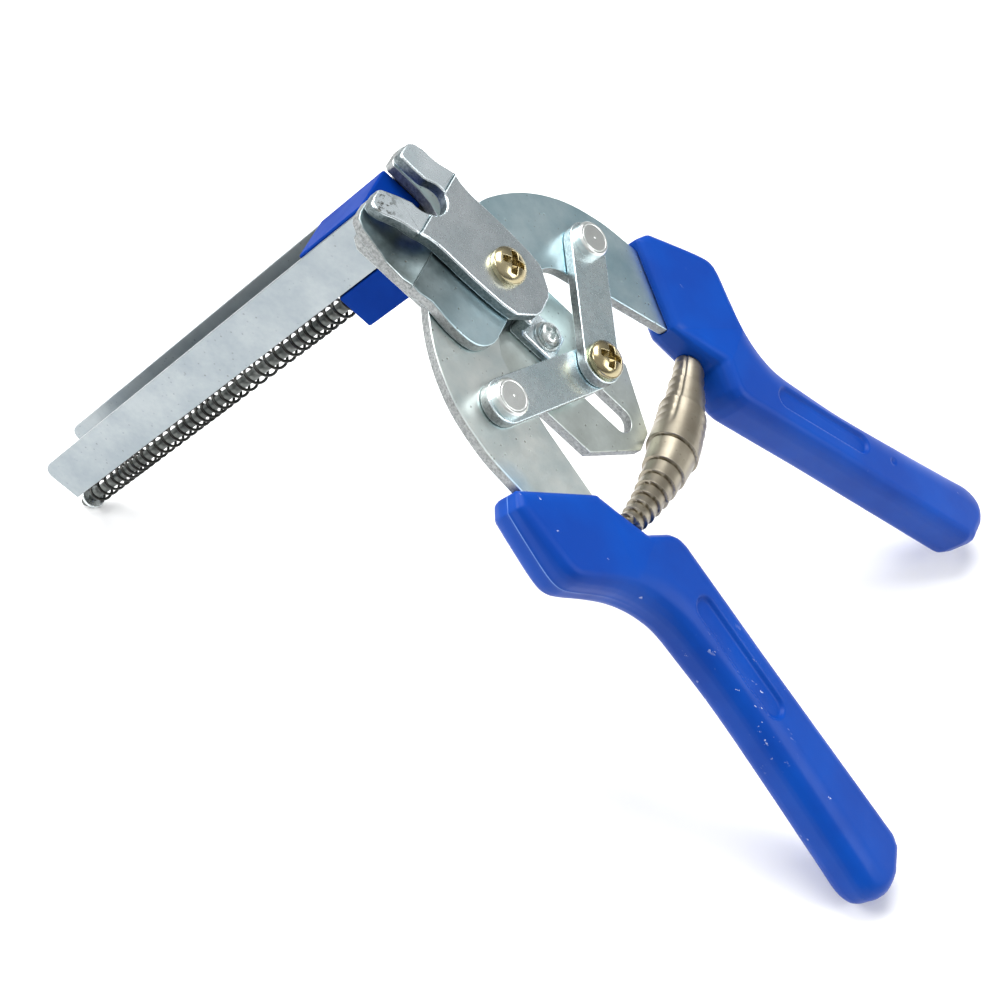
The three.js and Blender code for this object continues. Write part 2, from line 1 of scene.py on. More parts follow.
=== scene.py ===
import math
import bmesh
import bpy
import numpy as np
from mathutils import Matrix, Vector
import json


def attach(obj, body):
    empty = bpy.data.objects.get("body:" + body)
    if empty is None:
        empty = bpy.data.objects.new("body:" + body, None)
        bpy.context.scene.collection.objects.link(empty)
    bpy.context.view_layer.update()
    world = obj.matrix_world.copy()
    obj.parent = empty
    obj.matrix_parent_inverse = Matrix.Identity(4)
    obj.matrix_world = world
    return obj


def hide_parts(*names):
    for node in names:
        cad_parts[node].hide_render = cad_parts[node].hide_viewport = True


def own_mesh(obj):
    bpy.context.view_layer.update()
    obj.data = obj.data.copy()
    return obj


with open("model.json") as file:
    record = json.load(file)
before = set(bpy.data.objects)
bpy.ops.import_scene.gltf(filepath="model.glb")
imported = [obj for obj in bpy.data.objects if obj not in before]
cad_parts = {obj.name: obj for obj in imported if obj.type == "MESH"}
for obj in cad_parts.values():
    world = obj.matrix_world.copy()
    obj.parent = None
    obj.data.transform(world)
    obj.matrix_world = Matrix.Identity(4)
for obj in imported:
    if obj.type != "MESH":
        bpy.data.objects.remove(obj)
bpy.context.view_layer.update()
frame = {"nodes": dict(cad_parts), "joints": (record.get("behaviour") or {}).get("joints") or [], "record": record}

# The tool's own frame: u runs from the jaws to the grips, v across the handles, n out of the
# handle plane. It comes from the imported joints, so every piece follows the CAD.
MM = 0.001
joints = {joint["name"]: joint for joint in frame["joints"]}
u_axis = np.array(joints["slider_travel"]["axis"], float)
n_axis = np.array(joints["upper_squeeze"]["axis"], float)
v_axis = np.array((0.0, 1.0, 0.0))
PIVOT_MIDDLE = -1.4
pivot = np.array(joints["upper_squeeze"]["pos_m"]) - n_axis * PIVOT_MIDDLE * MM
body_of_node = {node: body
                for body, nodes in frame["record"]["behaviour"]["bodies"].items()
                for node in nodes}


def in_place(u, v, n):
    """Millimetres in the tool's frame to metres in the shared frame, for whole arrays."""
    u, v, n = np.broadcast_arrays(u, v, n)
    return pivot + MM * (u[..., None] * u_axis + v[..., None] * v_axis + n[..., None] * n_axis)


# The camera looks down on the tool at 46 degrees, a little from the magazine's left, and is rolled
# by under two degrees.
CAMERA_U_V_N = (-95.2, -288.96, 250.77)
CAMERA_AZIMUTH = math.radians(19.46)
CAMERA_ELEVATION = math.radians(46.33)
CAMERA_ROLL = math.radians(-1.6)
camera = bpy.data.objects.new("camera", bpy.data.cameras.new("camera"))
camera.data.sensor_width = 36.0
camera.data.lens = 63.36
camera.data.clip_start = 0.01
camera.matrix_world = (
    Matrix.Translation(in_place(*CAMERA_U_V_N).tolist())
    @ Matrix.Rotation(CAMERA_AZIMUTH, 4, "Z")
    @ Matrix.Rotation(math.pi / 2 - CAMERA_ELEVATION, 4, "X")
    @ Matrix.Rotation(CAMERA_ROLL, 4, "Z")
)
bpy.context.scene.collection.objects.link(camera)
bpy.context.scene.camera = camera

# A plain pale floor of matt paper under the tool, and three large soft lamps: one overhead, one
# on each side.
floor_mesh = bpy.data.meshes.new("floor")
FLOOR_HALF = 4.0
floor_mesh.from_pydata(
    [(-FLOOR_HALF, -FLOOR_HALF, 0), (FLOOR_HALF, -FLOOR_HALF, 0),
     (FLOOR_HALF, FLOOR_HALF, 0), (-FLOOR_HALF, FLOOR_HALF, 0)], [], [(0, 1, 2, 3)])
floor = bpy.data.objects.new("floor", floor_mesh)
bpy.context.scene.collection.objects.link(floor)
floor_finish = bpy.data.materials.new("floor_paper")
floor_finish.use_nodes = True
paper = floor_finish.node_tree.nodes["Principled BSDF"]
paper.inputs["Base Color"].default_value = (1.0, 1.0, 1.0, 1)
paper.inputs["Roughness"].default_value = 0.9
floor_mesh.materials.append(floor_finish)


MIDDLE_OF_TOOL = Vector((0, 0, 0.06))


def soft_lamp(name, at, size, power):
    """A square lamp at a point, turned to face the middle of the tool."""
    lamp = bpy.data.lights.new(name, "AREA")
    lamp.size = size
    lamp.energy = power
    holder = bpy.data.objects.new(name, lamp)
    holder.location = at
    facing = MIDDLE_OF_TOOL - Vector(at)
    holder.rotation_euler = facing.to_track_quat("-Z", "Y").to_euler()
    bpy.context.scene.collection.objects.link(holder)


soft_lamp("lamp_over", (-0.15, 0.35, 1.1), 0.8, 13.0)
soft_lamp("lamp_left", (-0.9, -0.3, 0.8), 0.6, 10.0)
soft_lamp("lamp_right", (0.9, 0.1, 0.5), 0.5, 4.0)

# The room is white overhead and grey at the walls, so polished faces pick up both.
world = bpy.data.worlds.new("room")
world.use_nodes = True
room = world.node_tree
height_in_room = room.nodes.new("ShaderNodeSeparateXYZ")
place = room.nodes.new("ShaderNodeTexCoord").outputs["Generated"]
room.links.new(place, height_in_room.inputs[0])
ceiling = room.nodes.new("ShaderNodeMapRange")
ceiling.inputs["From Min"].default_value = 0.05
ceiling.inputs["From Max"].default_value = 0.75
ceiling.inputs["To Min"].default_value = 0.16
ceiling.inputs["To Max"].default_value = 0.62
room.links.new(height_in_room.outputs["Z"], ceiling.inputs["Value"])
room.links.new(ceiling.outputs["Result"], room.nodes["Background"].inputs["Strength"])
room.nodes["Background"].inputs["Color"].default_value = (1, 1, 1, 1)
bpy.context.scene.world = world
bpy.context.scene.view_settings.view_transform = "Standard"


# The base plate is a flat steel stamping, zinc plated, that lies under both handle plates. It has a
# window for the clips and a slot for the slider, and the pivot screw passes through it.
def new_piece(name, mesh, material, like):
    """Puts a mesh in the scene in place of a CAD node, on that node's body."""
    piece = bpy.data.objects.new(name, mesh)
    bpy.context.scene.collection.objects.link(piece)
    mesh.materials.clear()
    mesh.materials.append(material)
    mesh.polygons.foreach_set("use_smooth", np.ones(len(mesh.polygons), bool))
    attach(piece, body_of_node[like])
    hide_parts(like)
    return piece


def pressed_copy(node, name, material, edge, segments=2, turn=30):
    """The CAD node's shape with its loose triangles merged and every edge broken by a small bevel."""
    mesh = frame["nodes"][node].data.copy()
    work = bmesh.new()
    work.from_mesh(mesh)
    bmesh.ops.remove_doubles(work, verts=work.verts, dist=2e-6)
    bmesh.ops.dissolve_limit(work, angle_limit=math.radians(0.6), verts=work.verts, edges=work.edges)
    work.to_mesh(mesh)
    work.free()
    piece = new_piece(name, mesh, material, node)
    bevel = piece.modifiers.new("broken_edge", "BEVEL")
    bevel.width = edge * MM
    bevel.segments = segments
    bevel.limit_method = "ANGLE"
    bevel.angle_limit = math.radians(turn)
    bevel.use_clamp_overlap = False
    level = piece.modifiers.new("flat_faces", "WEIGHTED_NORMAL")
    level.mode = "FACE_AREA"
    level.weight = 100
    level.keep_sharp = False
    return piece


def group_of(name, inputs, outputs):
    """An empty shader group with named number, colour or vector sockets."""
    kinds = {"f": "NodeSocketFloat", "c": "NodeSocketColor", "v": "NodeSocketVector"}
    tree = bpy.data.node_groups.new(name, "ShaderNodeTree")
    for label, kind, value in inputs:
        socket = tree.interface.new_socket(label, in_out="INPUT", socket_type=kinds[kind])
        socket.default_value = value
    for label, kind in outputs:
        tree.interface.new_socket(label, in_out="OUTPUT", socket_type=kinds[kind])
    return tree, tree.nodes.new("NodeGroupInput"), tree.nodes.new("NodeGroupOutput")


def noise(tree, coordinates, scale, detail=3.0, rough=0.5):
    """A noise texture on the given coordinates, scale in waves per metre."""
    texture = tree.nodes.new("ShaderNodeTexNoise")
    texture.inputs["Scale"].default_value = scale
    texture.inputs["Detail"].default_value = detail
    texture.inputs["Roughness"].default_value = rough
    tree.links.new(coordinates, texture.inputs["Vector"])
    return texture.outputs["Fac"]


def steps(tree, value, low, high, to_low=0.0, to_high=1.0):
    """Value carried from the range low..high to to_low..to_high, held at both ends."""
    ramp = tree.nodes.new("ShaderNodeMapRange")
    for label, number in (("From Min", low), ("From Max", high), ("To Min", to_low), ("To Max", to_high)):
        ramp.inputs[label].default_value = number
    tree.links.new(value, ramp.inputs["Value"])
    return ramp.outputs["Result"]


def math_of(tree, operation, first, second=None):
    """One maths node; either side may be a socket or a number."""
    sums = tree.nodes.new("ShaderNodeMath")
    sums.operation = operation
    for place, side in enumerate((first, second)):
        if side is None:
            continue
        if isinstance(side, (int, float)):
            sums.inputs[place].default_value = side
        else:
            tree.links.new(side, sums.inputs[place])
    return sums.outputs[0]


def blend_of(tree, amount, first, second):
    """Colour that goes from first to second; each may be a socket or a colour."""
    mix = tree.nodes.new("ShaderNodeMix")
    mix.data_type = "RGBA"
    tree.links.new(amount, mix.inputs["Factor"])
    for socket, side in ((mix.inputs[6], first), (mix.inputs[7], second)):
        if isinstance(side, tuple):
            socket.default_value = (*side, 1.0)
        else:
            tree.links.new(side, socket)
    return mix.outputs[2]


def vector_of(tree, operation, first, second):
    """One vector maths node; the second side may be a socket or three numbers."""
    sums = tree.nodes.new("ShaderNodeVectorMath")
    sums.operation = operation
    tree.links.new(first, sums.inputs[0])
    if isinstance(second, tuple):
        sums.inputs[1].default_value = second
    else:
        tree.links.new(second, sums.inputs[1])
    return sums.outputs["Vector" if operation == "MULTIPLY" else "Value"]


# Zinc plating on steel: cloudy passivation, dark pin pits and fine rolling grain. The sheared
# edges of a stamping are duller and torn along the cut, and its broken edges are worn bright.
plating, given, result = group_of(
    "zinc_plating",
    [("Bright", "c", (0.60, 0.64, 0.65, 1)), ("Dull", "c", (0.30, 0.34, 0.35, 1)),
     ("Pits", "f", 0.5), ("Rough", "f", 0.34), ("Sheared", "f", 0.0),
     ("Edge low", "c", (0.20, 0.21, 0.21, 1)), ("Edge high", "c", (0.46, 0.48, 0.48, 1)),
     ("Spot at", "v", (0, 0, 0)), ("Spot reach", "f", 0.001), ("Spot", "f", 0.0),
     ("Spot pitted", "f", 0.0), ("Spot colour", "c", (0.08, 0.08, 0.07, 1))],
    [("Colour", "c"), ("Roughness", "f"), ("Height", "f")])
place = plating.nodes.new("ShaderNodeTexCoord").outputs["Object"]
clouds = noise(plating, place, 95.0, detail=5.0, rough=0.6)
mottle = noise(plating, place, 620.0, detail=4.0, rough=0.6)
grain = noise(plating, place, 3400.0, detail=3.0, rough=0.7)
torn = noise(plating, place, 1500.0, detail=5.0, rough=0.75)
spots = plating.nodes.new("ShaderNodeTexVoronoi")
spots.inputs["Scale"].default_value = 560.0
plating.links.new(place, spots.inputs["Vector"])
# Each pit is the middle of a cell, and only the cells in the darker mottle have one.
pit = steps(plating, spots.outputs["Distance"], 0.10, 0.19, 1.0, 0.0)
pit = math_of(plating, "MULTIPLY", pit, steps(plating, mottle, 0.46, 0.58))
pit = math_of(plating, "MULTIPLY", pit, given.outputs["Pits"])
cloud = steps(plating, clouds, 0.34, 0.66, 0.0, 0.86)
cloud = math_of(plating, "ADD", cloud, steps(plating, mottle, 0.35, 0.7, 0.0, 0.14))
face = blend_of(plating, cloud, given.outputs["Bright"], given.outputs["Dull"])
# The spot is one place of another colour: real pits on the fork, painted shade on the upper handle's jaw,
# a blue tint on the lower handle; it is either patchy or broken up into pits.
away = vector_of(plating, "DISTANCE", place, given.outputs["Spot at"])
share = math_of(plating, "DIVIDE", away, given.outputs["Spot reach"])
broken = steps(plating, mottle, 0.50, 0.56)
patchy = steps(plating, clouds, 0.25, 0.55, 0.6, 1.0)
texture = plating.nodes.new("ShaderNodeMix")
plating.links.new(given.outputs["Spot pitted"], texture.inputs["Factor"])
plating.links.new(patchy, texture.inputs[2])
plating.links.new(broken, texture.inputs[3])
spot = math_of(plating, "MULTIPLY", steps(plating, share, 0.35, 1.0, 1.0, 0.0), texture.outputs[0])
spot = math_of(plating, "MULTIPLY", spot, given.outputs["Spot"])
stain_and_shade = blend_of(plating, spot, face, given.outputs["Spot colour"])
speckled = blend_of(plating, pit, stain_and_shade, (0.075, 0.066, 0.055))
# Flatness is 1 on the plate's faces and 0 on its sheared sides; the bevel lies between.
normal = plating.nodes.new("ShaderNodeNewGeometry").outputs["Normal"]
flatness = math_of(plating, "ABSOLUTE", vector_of(plating, "DOT_PRODUCT", normal, tuple(n_axis)))
cut_edge = steps(plating, flatness, 0.12, 0.35, 1.0, 0.0)
cut_edge = math_of(plating, "MULTIPLY", cut_edge, given.outputs["Sheared"])
rim = steps(plating, flatness, 0.35, 0.55)
rim = math_of(plating, "MULTIPLY", rim, steps(plating, flatness, 0.82, 0.9, 1.0, 0.0))
rim = math_of(plating, "MULTIPLY", rim, given.outputs["Sheared"])
edge_colour = blend_of(plating, steps(plating, torn, 0.35, 0.65),
                       given.outputs["Edge low"], given.outputs["Edge high"])
with_edge = blend_of(plating, cut_edge, speckled, edge_colour)
rim_wear = math_of(plating, "MULTIPLY", rim, steps(plating, mottle, 0.35, 0.6, 0.1, 0.55))
worn = blend_of(plating, rim_wear, with_edge, (0.72, 0.76, 0.76))
plating.links.new(worn, result.inputs["Colour"])
rough = math_of(plating, "ADD", given.outputs["Rough"], steps(plating, mottle, 0.3, 0.7, -0.02, 0.03))
rough = math_of(plating, "ADD", rough, math_of(plating, "MULTIPLY", cut_edge, 0.16))
rough = math_of(plating, "ADD", rough, math_of(plating, "MULTIPLY", pit, 0.3))
plating.links.new(rough, result.inputs["Roughness"])
torn_edge = math_of(plating, "MULTIPLY", torn, cut_edge)
relief = math_of(plating, "MULTIPLY", grain, 0.035)
relief = math_of(plating, "ADD", relief, math_of(plating, "MULTIPLY", pit, -0.9))
relief = math_of(plating, "ADD", relief, math_of(plating, "MULTIPLY", torn_edge, 2.6))
plating.links.new(relief, result.inputs["Height"])


def finish_of(name, group, settings, metallic, bump_mm, coat=0.0, gloss=0.5):
    """A material whose colour, roughness and relief come from one shared effect."""
    material = bpy.data.materials.new(name)
    material.use_nodes = True
    tree = material.node_tree
    shader = tree.nodes["Principled BSDF"]
    effect = tree.nodes.new("ShaderNodeGroup")
    effect.node_tree = group
    for label, value in settings.items():
        effect.inputs[label].default_value = value
    bump = tree.nodes.new("ShaderNodeBump")
    bump.inputs["Distance"].default_value = bump_mm * MM
    bump.inputs["Strength"].default_value = 0.8
    shader.inputs["Metallic"].default_value = metallic
    shader.inputs["Specular IOR Level"].default_value = gloss
    shader.inputs["Coat Weight"].default_value = coat
    shader.inputs["Coat Roughness"].default_value = 0.2
    tree.links.new(effect.outputs["Colour"], shader.inputs["Base Color"])
    tree.links.new(effect.outputs["Roughness"], shader.inputs["Roughness"])
    tree.links.new(effect.outputs["Height"], bump.inputs["Height"])
    tree.links.new(bump.outputs["Normal"], shader.inputs["Normal"])
    return material


base_zinc = finish_of(
    "base_zinc", plating,
    {"Bright": (0.78, 0.86, 0.83, 1), "Dull": (0.55, 0.61, 0.58, 1),
     "Pits": 0.7, "Rough": 0.36, "Sheared": 1.0},
    metallic=1.0, bump_mm=0.05)
pressed_copy("base_plate", "base_plate_pressed", base_zinc, 0.22)


# The fork plate holds the cage wires. It is the brightest stamping, its prongs are bent down, and
# the tip of the lower prong is pitted by the wires. A bent bracket and a spacer carry it.
def points_of(node):
    """A CAD node's points, in metres from the pivot."""
    mesh = frame["nodes"][node].data
    flat = np.empty(len(mesh.vertices) * 3)
    mesh.vertices.foreach_get("co", flat)
    return flat.reshape(-1, 3) - pivot


def ends_along_n(node):
    """Lowest and highest level of a CAD node along the tool's n axis, in millimetres."""
    levels = points_of(node) @ n_axis / MM
    return levels.min(), levels.max()


PITTED_PRONG = (-32.0, -10.5, ends_along_n("fork_plate")[1] - 3)
fork_zinc = finish_of(
    "fork_zinc", plating,
    {"Bright": (0.86, 0.94, 0.98, 1), "Dull": (0.66, 0.76, 0.80, 1),
     "Pits": 0.4, "Rough": 0.27, "Sheared": 1.0,
     "Edge low": (0.11, 0.14, 0.15, 1), "Edge high": (0.30, 0.35, 0.36, 1),
     "Spot at": tuple(in_place(*PITTED_PRONG)), "Spot reach": 7 * MM,
     "Spot": 0.9, "Spot pitted": 1.0},
    metallic=1.0, bump_mm=0.018)
pressed_copy("fork_plate", "fork_plate_pressed", fork_zinc, 0.5, 4)
pressed_copy("fork_bracket", "fork_bracket_pressed", fork_zinc, 0.8, 3)
pressed_copy("fork_spacer", "fork_spacer_pressed", fork_zinc, 0.04)

# Two zinc-plated steel handle plates cross on the pivot, the upper one over the lower. The upper one's jaw
# has a painted shadow of the fork, a soft dark patch, and the lower one is tinted blue next to its grip.
FORK_SHADE_ON_JAW = (-20.0, -14.0, -5.0)
BLUE_BY_GRIP = (26.0, -44.5, -4.5)
# The spot on the upper plate is painted shade: a soft dark patch on the jaw where the fork above shades it.
upper_zinc = finish_of(
    "upper_zinc", plating,
    {"Bright": (0.66, 0.83, 0.88, 1), "Dull": (0.41, 0.60, 0.67, 1),
     "Pits": 0.8, "Rough": 0.34, "Sheared": 1.0,
     "Spot at": tuple(in_place(*FORK_SHADE_ON_JAW)), "Spot reach": 21 * MM,
     "Spot": 0.85, "Spot colour": (0.085, 0.095, 0.085, 1)},
    metallic=1.0, bump_mm=0.05)
pressed_copy("upper_handle_plate", "upper_handle_plate_pressed", upper_zinc, 0.28)
lower_zinc = finish_of(
    "lower_zinc", plating,
    {"Bright": (0.84, 0.89, 0.86, 1), "Dull": (0.58, 0.67, 0.67, 1),
     "Pits": 0.8, "Rough": 0.36, "Sheared": 1.0,
     "Spot at": tuple(in_place(*BLUE_BY_GRIP)), "Spot reach": 8 * MM,
     "Spot": 0.55, "Spot colour": (0.25, 0.55, 0.85, 1)},
    metallic=1.0, bump_mm=0.05)
pressed_copy("lower_handle_plate", "lower_handle_plate_pressed", lower_zinc, 0.28)

# Two flat steel links, stamped and zinc plated, tie the handles' rivets to the slider. Their
# edges are rounded off more than those of the plates.
link_zinc = finish_of(
    "link_zinc", plating,
    {"Bright": (0.86, 0.97, 1.0, 1), "Dull": (0.64, 0.80, 0.85, 1),
     "Pits": 0.35, "Rough": 0.27, "Sheared": 1.0},
    metallic=1.0, bump_mm=0.014)
for side in ("upper", "lower"):
    pressed_copy(side + "_link", side + "_link_pressed", link_zinc, 0.3, 3)

# The nuts, the slider's bush, the bracket's washer and the ring at the end of the rod are small
# turned and pressed steel fastenings in bright zinc.
bright_zinc = finish_of(
    "bright_zinc", plating,
    {"Bright": (0.70, 0.75, 0.75, 1), "Dull": (0.54, 0.59, 0.59, 1), "Pits": 0.15, "Rough": 0.27},
    metallic=1.0, bump_mm=0.003)
for node in ("pivot_nut", "slider_nut", "slider_bush", "bracket_washer", "rod_keeper"):
    pressed_copy(node, node + "_pressed", bright_zinc, 0.1)


# Pan-head screws with a cross recess: a domed crown, a short skirt, and a plain shank below.
# The two large ones are yellow zinc, the small one on the bracket is bright.
def closed_turning(name, rings):
    """Rings joined one to the next; the first and last are poles, each merged to one point."""
    rows, columns = rings.shape[:2]
    row, column = np.meshgrid(np.arange(rows - 1), np.arange(columns), indexing="ij")
    after = (column + 1) % columns
    quads = np.stack([row * columns + column, row * columns + after,
                      (row + 1) * columns + after, (row + 1) * columns + column], -1).reshape(-1, 4)
    mesh = bpy.data.meshes.new(name)
    mesh.from_pydata(rings.reshape(-1, 3).tolist(), [], quads.tolist())
    work = bmesh.new()
    work.from_mesh(mesh)
    bmesh.ops.remove_doubles(work, verts=work.verts, dist=1e-8)
    bmesh.ops.recalc_face_normals(work, faces=work.faces)
    work.to_mesh(mesh)
    work.free()
    return mesh


def smooth(value, low, high):
    """0 below low and 1 above high, with a soft S between."""
    t = np.clip((value - low) / (high - low), 0.0, 1.0)
    return t * t * (3 - 2 * t)


def middle_of(node):
    """The u and v of a CAD node's middle."""
    apart = points_of(node) / MM
    along, across = apart @ u_axis, apart @ v_axis
    return (along.min() + along.max()) / 2, (across.min() + across.max()) / 2


def carried_round(node, profile, turn):
    """Each radius and level of a profile carried round the node's own axis along n."""
    middle_u, middle_v = middle_of(node)
    radius, level = np.array(profile, float).T[:, :, None]
    return in_place(middle_u + radius * np.cos(turn), middle_v + radius * np.sin(turn), level)


def pan_screw(node, name, material, radius, crown, shank, stopped_at):
    """Height over the head is a flat dome less a cross-shaped hollow that shallows along its arms."""
    low, high = ends_along_n(node)
    middle_u, middle_v = middle_of(node)
    seat = high - crown
    turn = np.linspace(0, 2 * np.pi, 224, endpoint=False)
    spread = np.linspace(0, 1, 90) ** 0.8 * radius
    r, a = np.meshgrid(spread, turn, indexing="ij")
    x, y = r * np.cos(a), r * np.sin(a)
    skirt = crown * 0.32
    dome = skirt + (crown - skirt) * np.sqrt(np.clip(1 - (r / radius) ** 2.3, 0, 1))
    arm, wing = radius * 0.66, radius * 0.15
    stop = math.radians(stopped_at)
    along, across = x * np.cos(stop) + y * np.sin(stop), y * np.cos(stop) - x * np.sin(stop)

    def bar(p, q):
        """1 along an arm of the cross, falling to 0 at its walls and end."""
        inside_walls = 1 - smooth(np.abs(q), wing * 0.75, wing * 1.35)
        return inside_walls * (1 - smooth(np.abs(p), arm * 0.86, arm))

    cross = np.maximum(bar(along, across), bar(across, along))
    hollow = crown * (0.80 - 0.34 * np.clip(r / arm, 0, 1))
    top = in_place(middle_u + x, middle_v + y, seat + dome - cross * hollow)
    below = [(radius, seat + skirt * 0.75), (radius, seat + skirt * 0.3), (radius * 0.985, seat),
             (shank * 1.04, seat), (shank, seat - 0.05), (shank, low + 0.4), (shank - 0.4, low),
             (0.0, low)]
    rings = np.concatenate([top, carried_round(node, below, turn)])
    return new_piece(name, closed_turning(name, rings), material, node)


yellow_zinc = finish_of(
    "yellow_zinc", plating,
    {"Bright": (0.52, 0.46, 0.29, 1), "Dull": (0.33, 0.27, 0.14, 1), "Pits": 0.25, "Rough": 0.2},
    metallic=1.0, bump_mm=0.01, coat=0.3)
for node in ("pivot_screw", "slider_screw"):
    pan_screw(node, node + "_turned", yellow_zinc,
              radius=4.75, crown=3.1, shank=2.5, stopped_at=24)
pan_screw("bracket_screw", "bracket_screw_turned", bright_zinc,
          radius=3.1, crown=2.2, shank=1.5, stopped_at=10)


# Solid steel rivets turned from bar join each link to its handle. Their heads are flat and
# chamfered, and keep the marks of the tool.
def turned_rivet(node, name):
    """A profile turned about the rivet's axis; the head's flat has fine rings and a centre dot."""
    low, high = ends_along_n(node)
    radius, chamfer, head, shank, foot = 4.5, 0.5, 2.3, 2.5, 4.1
    face = np.linspace(0, radius - chamfer, 90)
    rings = 0.006 * np.sin(face * 2 * np.pi / 0.42) * smooth(face, 0.5, 1.0)
    rings = rings - 0.10 * np.exp(-((face - 3.5) / 0.08) ** 2)
    dot = -0.10 * (1 - smooth(face, 0.1, 0.32))
    profile = [(p, high + q) for p, q in zip(face, rings + dot - 0.05)]
    corner, under = high - chamfer, high - head
    profile += [(radius - chamfer + 0.06, high - 0.08), (radius - 0.06, corner + 0.04),
                (radius, corner - 0.04), (radius, corner - 0.12), (radius, under + 0.16),
                (radius, under + 0.08), (radius - 0.06, under), (radius - 0.2, under),
                (shank, under), (shank, low + 1.4), (foot - 0.1, low + 1.4), (foot, low + 1.3),
                (foot, low + 0.5), (foot - 0.4, low), (0.0, low)]
    points = carried_round(node, profile, np.linspace(0, 2 * np.pi, 72, endpoint=False))
    return new_piece(name, closed_turning(name, points), rivet_zinc, node)


rivet_zinc = finish_of(
    "rivet_zinc", plating,
    {"Bright": (0.93, 0.96, 0.94, 1), "Dull": (0.78, 0.83, 0.81, 1), "Pits": 0.1, "Rough": 0.3},
    metallic=1.0, bump_mm=0.003)
turned_rivet("upper_rivet", "upper_rivet_turned")
turned_rivet("lower_rivet", "lower_rivet_turned")

# The magazine is a channel folded from thin steel that hangs under the base plate and holds the
# stick of clips. Its zinc is satin, with soft blotches.
channel_zinc = finish_of(
    "channel_zinc", plating,
    {"Bright": (0.36, 0.395, 0.41, 1), "Dull": (0.27, 0.31, 0.335, 1), "Pits": 0.4, "Rough": 0.38},
    metallic=1.0, bump_mm=0.02)
pressed_copy("magazine_channel", "magazine_channel_folded", channel_zinc, 0.14)


# The guide rod is drawn steel wire with a small chamfer at its tip. It hangs from the base plate
# beside the channel and carries the magazine spring.
def turned_rod(node, name):
    """A plain round profile carried down the rod's axis."""
    low, high = ends_along_n(node)
    radius = 1.5
    profile = [(0.0, low), (1.0, low), (1.35, low + 0.15), (radius, low + 0.5)]
    profile += [(radius, h) for h in np.linspace(low + 1, high - 0.3, 40)] + [(radius, high), (0.0, high)]
    points = carried_round(node, profile, np.linspace(0, 2 * np.pi, 32, endpoint=False))
    return new_piece(name, closed_turning(name, points), dull_zinc, node)


dull_zinc = finish_of(
    "dull_zinc", plating,
    {"Bright": (0.20, 0.21, 0.20, 1), "Dull": (0.10, 0.11, 0.105, 1), "Pits": 0.3, "Rough": 0.42},
    metallic=1.0, bump_mm=0.006)
turned_rod("guide_rod", "guide_rod_drawn")

# The magazine spring is black steel wire wound to slide on the rod, its pitch closer in some
# stretches. It sits between the ring at the rod's end and the follower.
def wire_coil(node, name, material, turns, coil, wire):
    """A round wire carried along a helix whose pitch swells and shrinks slowly along it."""
    low, high = ends_along_n(node)
    middle_u, middle_v = middle_of(node)
    t = np.linspace(0, 1, turns * 22 + 1)
    height = t + 0.012 * np.sin(2 * np.pi * t * 3.0)
    height = height + 0.010 * np.sin(2 * np.pi * t * 1.3 + 0.8) - 0.010 * np.sin(0.8)
    height = (height - height[0]) / (height[-1] - height[0])
    angle = 2 * np.pi * turns * t
    along = low + wire + (high - low - 2 * wire) * height
    centre = np.stack([coil * np.cos(angle), coil * np.sin(angle), along], -1)
    tangent = np.gradient(centre, axis=0)
    tangent /= np.linalg.norm(tangent, axis=1)[:, None]
    outward = np.stack([np.cos(angle), np.sin(angle), np.zeros_like(angle)], -1)
    beside = np.cross(tangent, outward)
    sides = np.linspace(0, 2 * np.pi, 8, endpoint=False)[None, :, None]
    ring = np.cos(sides) * outward[:, None] + np.sin(sides) * beside[:, None]
    ring = centre[:, None] + wire * ring
    ring = np.concatenate([np.repeat(centre[:1, None], 8, 1), ring, np.repeat(centre[-1:, None], 8, 1)])
    points = in_place(middle_u + ring[..., 0], middle_v + ring[..., 1], ring[..., 2])
    return new_piece(name, closed_turning(name, points), material, node)


black_wire = finish_of(
    "black_wire", plating,
    {"Bright": (0.07, 0.07, 0.065, 1), "Dull": (0.03, 0.03, 0.028, 1), "Pits": 0.2, "Rough": 0.38},
    metallic=1.0, bump_mm=0.01)
magazine_coil = wire_coil("magazine_spring", "magazine_spring_wound", black_wire,
                          turns=38, coil=2.7, wire=0.4)
# The coil is left at its full 132 mm here; with the follower drawn right back the real coil closes to 31.3 mm on
# the keeper. Its solid
# height is 38 turns of 0.8 mm wire, 30.4 mm.
coil_foot = in_place(*middle_of("magazine_spring"), ends_along_n("magazine_spring")[0])
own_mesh(magazine_coil)


# The opening spring is a nickelled steel strip wound into a double cone, held between the handles.
# Its lower half shows the lips of the turns.
VOLUTE_MIDDLE = (56.6, 0.0, -3.0)


